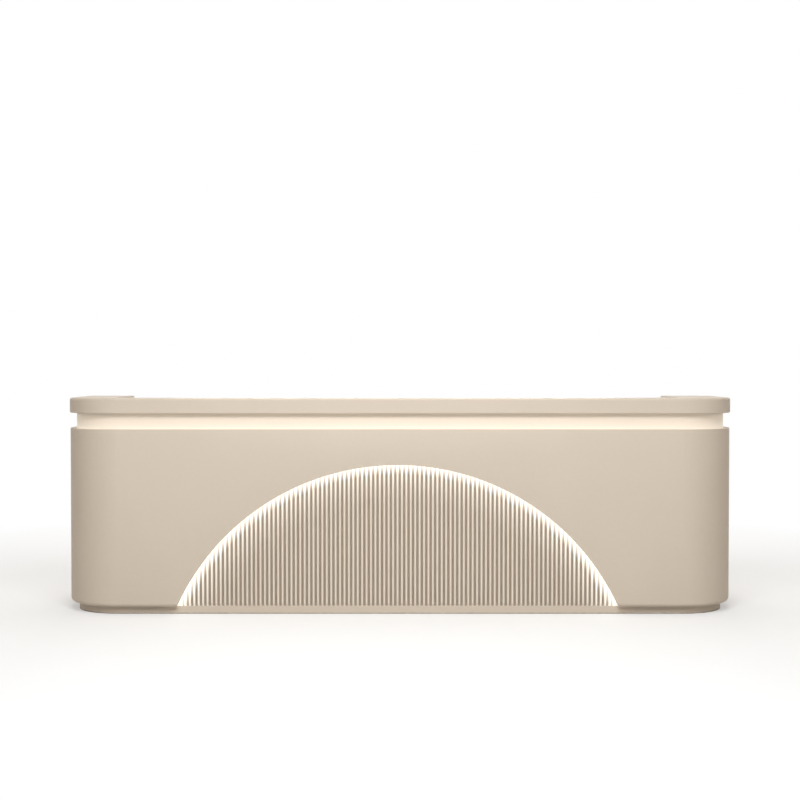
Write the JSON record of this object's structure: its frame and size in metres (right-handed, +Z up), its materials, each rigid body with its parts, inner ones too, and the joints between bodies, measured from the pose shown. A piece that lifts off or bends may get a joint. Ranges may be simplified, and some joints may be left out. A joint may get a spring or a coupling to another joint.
{
  "type": "checkout counter",
  "caption": "Long checkout counter with rounded front corners, a lit neck under a thick top, an arched reeded front and a lower staff desk with drawers, doors and keyboard tray.",
  "frame": {"origin": "on the floor, under the middle of the counter top's outline", "axes": "+Z up, X along the counter, customers stand at -Y and staff at +Y"},
  "size_m": [3.3, 0.7, 1.05],
  "materials": {
    "lacquer": "satin beige lacquer on board",
    "raw_board": "unfinished board and softwood",
    "melamine": "melamine-faced board, warm off-white",
    "anodised": "satin anodised",
    "zinc_steel": "bright zinc plate",
    "nickel": "satin nickel plate",
    "opal": "opal diffuser",
    "black_plastic": "fine-textured black",
    "white_plastic": "smooth white",
    "driver_case": "moulded grey-white",
    "lead_sheath": "matte sheath"
  },
  "bodies": {
    "cabinet": {"plinth": "lacquer", "levelling_feet": "black_plastic", "base_board": "melamine", "front_panel": "lacquer", "end_shell_left": "lacquer", "end_shell_right": "lacquer", "reeded_panel": "lacquer", "arch_former": "raw_board", "led_channels": "anodised", "led_diffusers": "opal", "neck_band": "lacquer", "counter_top": "lacquer", "top_edge_band": "lacquer", "top_substrate": "melamine", "top_battens": "raw_board", "wall_ribs": "raw_board", "wall_battens": "raw_board", "corner_formers": "raw_board", "inner_lining": "lacquer", "wing_panel_left": "lacquer", "wing_panel_right": "lacquer", "end_panel_left": "lacquer", "end_panel_right": "lacquer", "panel_screws": "zinc_steel", "desk_top": "melamine", "partitions": "melamine", "shelf_left": "melamine", "shelf_right": "melamine", "shelf_pins": "zinc_steel", "runners_fixed": "zinc_steel", "tray_hangers": "melamine", "hinge_leaves": "zinc_steel", "hinge_pins": "zinc_steel", "grommet_ring": "black_plastic", "switch_plate": "white_plastic", "led_driver": "driver_case", "led_leads": "lead_sheath", "power_inlet": "black_plastic"},
    "top_drawer": {"drawer_box_top": "melamine", "drawer_front_top": "lacquer", "drawer_pull_top": "anodised", "runner_inner_top": "zinc_steel"},
    "top_runner": {"runner_mid_top": "zinc_steel"},
    "low_drawer": {"drawer_box_low": "melamine", "drawer_front_low": "lacquer", "drawer_pull_low": "anodised", "runner_inner_low": "zinc_steel"},
    "low_runner": {"runner_mid_low": "zinc_steel"},
    "tray": {"keyboard_tray": "melamine", "tray_runner_inner": "zinc_steel"},
    "tray_runner": {"tray_runner_mid": "zinc_steel"},
    "left_door": {"door_left": "lacquer", "door_leaves_left": "zinc_steel", "door_pull_left": "anodised"},
    "right_door": {"door_right": "lacquer", "door_leaves_right": "zinc_steel", "door_pull_right": "anodised"},
    "lock": {"drawer_lock": "nickel"},
    "grommet_cap": {"grommet_cap": "black_plastic"},
    "rocker": {"rocker": "white_plastic"}
  },
  "joints": [
    {"name": "top_drawer_slide", "type": "slide", "parent": "cabinet", "child": "top_drawer", "axis": [0, 1, 0], "range_m": [0, 0.4]},
    {"name": "top_runner_slide", "type": "slide", "parent": "cabinet", "child": "top_runner", "axis": [0, 1, 0], "range_m": [0, 0.2]},
    {"name": "low_drawer_slide", "type": "slide", "parent": "cabinet", "child": "low_drawer", "axis": [0, 1, 0], "range_m": [0, 0.4]},
    {"name": "low_runner_slide", "type": "slide", "parent": "cabinet", "child": "low_runner", "axis": [0, 1, 0], "range_m": [0, 0.2]},
    {"name": "tray_slide", "type": "slide", "parent": "cabinet", "child": "tray", "axis": [0, 1, 0], "range_m": [0, 0.25]},
    {"name": "tray_runner_slide", "type": "slide", "parent": "cabinet", "child": "tray_runner", "axis": [0, 1, 0], "range_m": [0, 0.125]},
    {"name": "left_door_hinge", "type": "hinge", "parent": "cabinet", "child": "left_door", "pos_m": [0.478, 0.323, 0.16], "axis": [0, 0, 1], "range_deg": [0, 105]},
    {"name": "right_door_hinge", "type": "hinge", "parent": "cabinet", "child": "right_door", "pos_m": [1.394, 0.323, 0.16], "axis": [0, 0, -1], "range_deg": [0, 105]},
    {"name": "lock_turn", "type": "hinge", "parent": "top_drawer", "child": "lock", "pos_m": [-0.709, 0.3, 0.701], "axis": [0, -1, 0], "range_deg": [0, 90]},
    {"name": "grommet_turn", "type": "hinge", "parent": "cabinet", "child": "grommet_cap", "pos_m": [0.259, -0.092, 0.75], "axis": [0, 0, 1], "continuous": true},
    {"name": "rocker_tilt", "type": "hinge", "parent": "cabinet", "child": "rocker", "pos_m": [1.392, 0.15, 0.85], "axis": [0, 1, 0], "range_deg": [0, 8]}
  ],
  "couplings": [
    {"joint": "top_runner_slide", "follows": "top_drawer_slide", "ratio": 0.5},
    {"joint": "low_runner_slide", "follows": "low_drawer_slide", "ratio": 0.5},
    {"joint": "tray_runner_slide", "follows": "tray_slide", "ratio": 0.5}
  ]
}
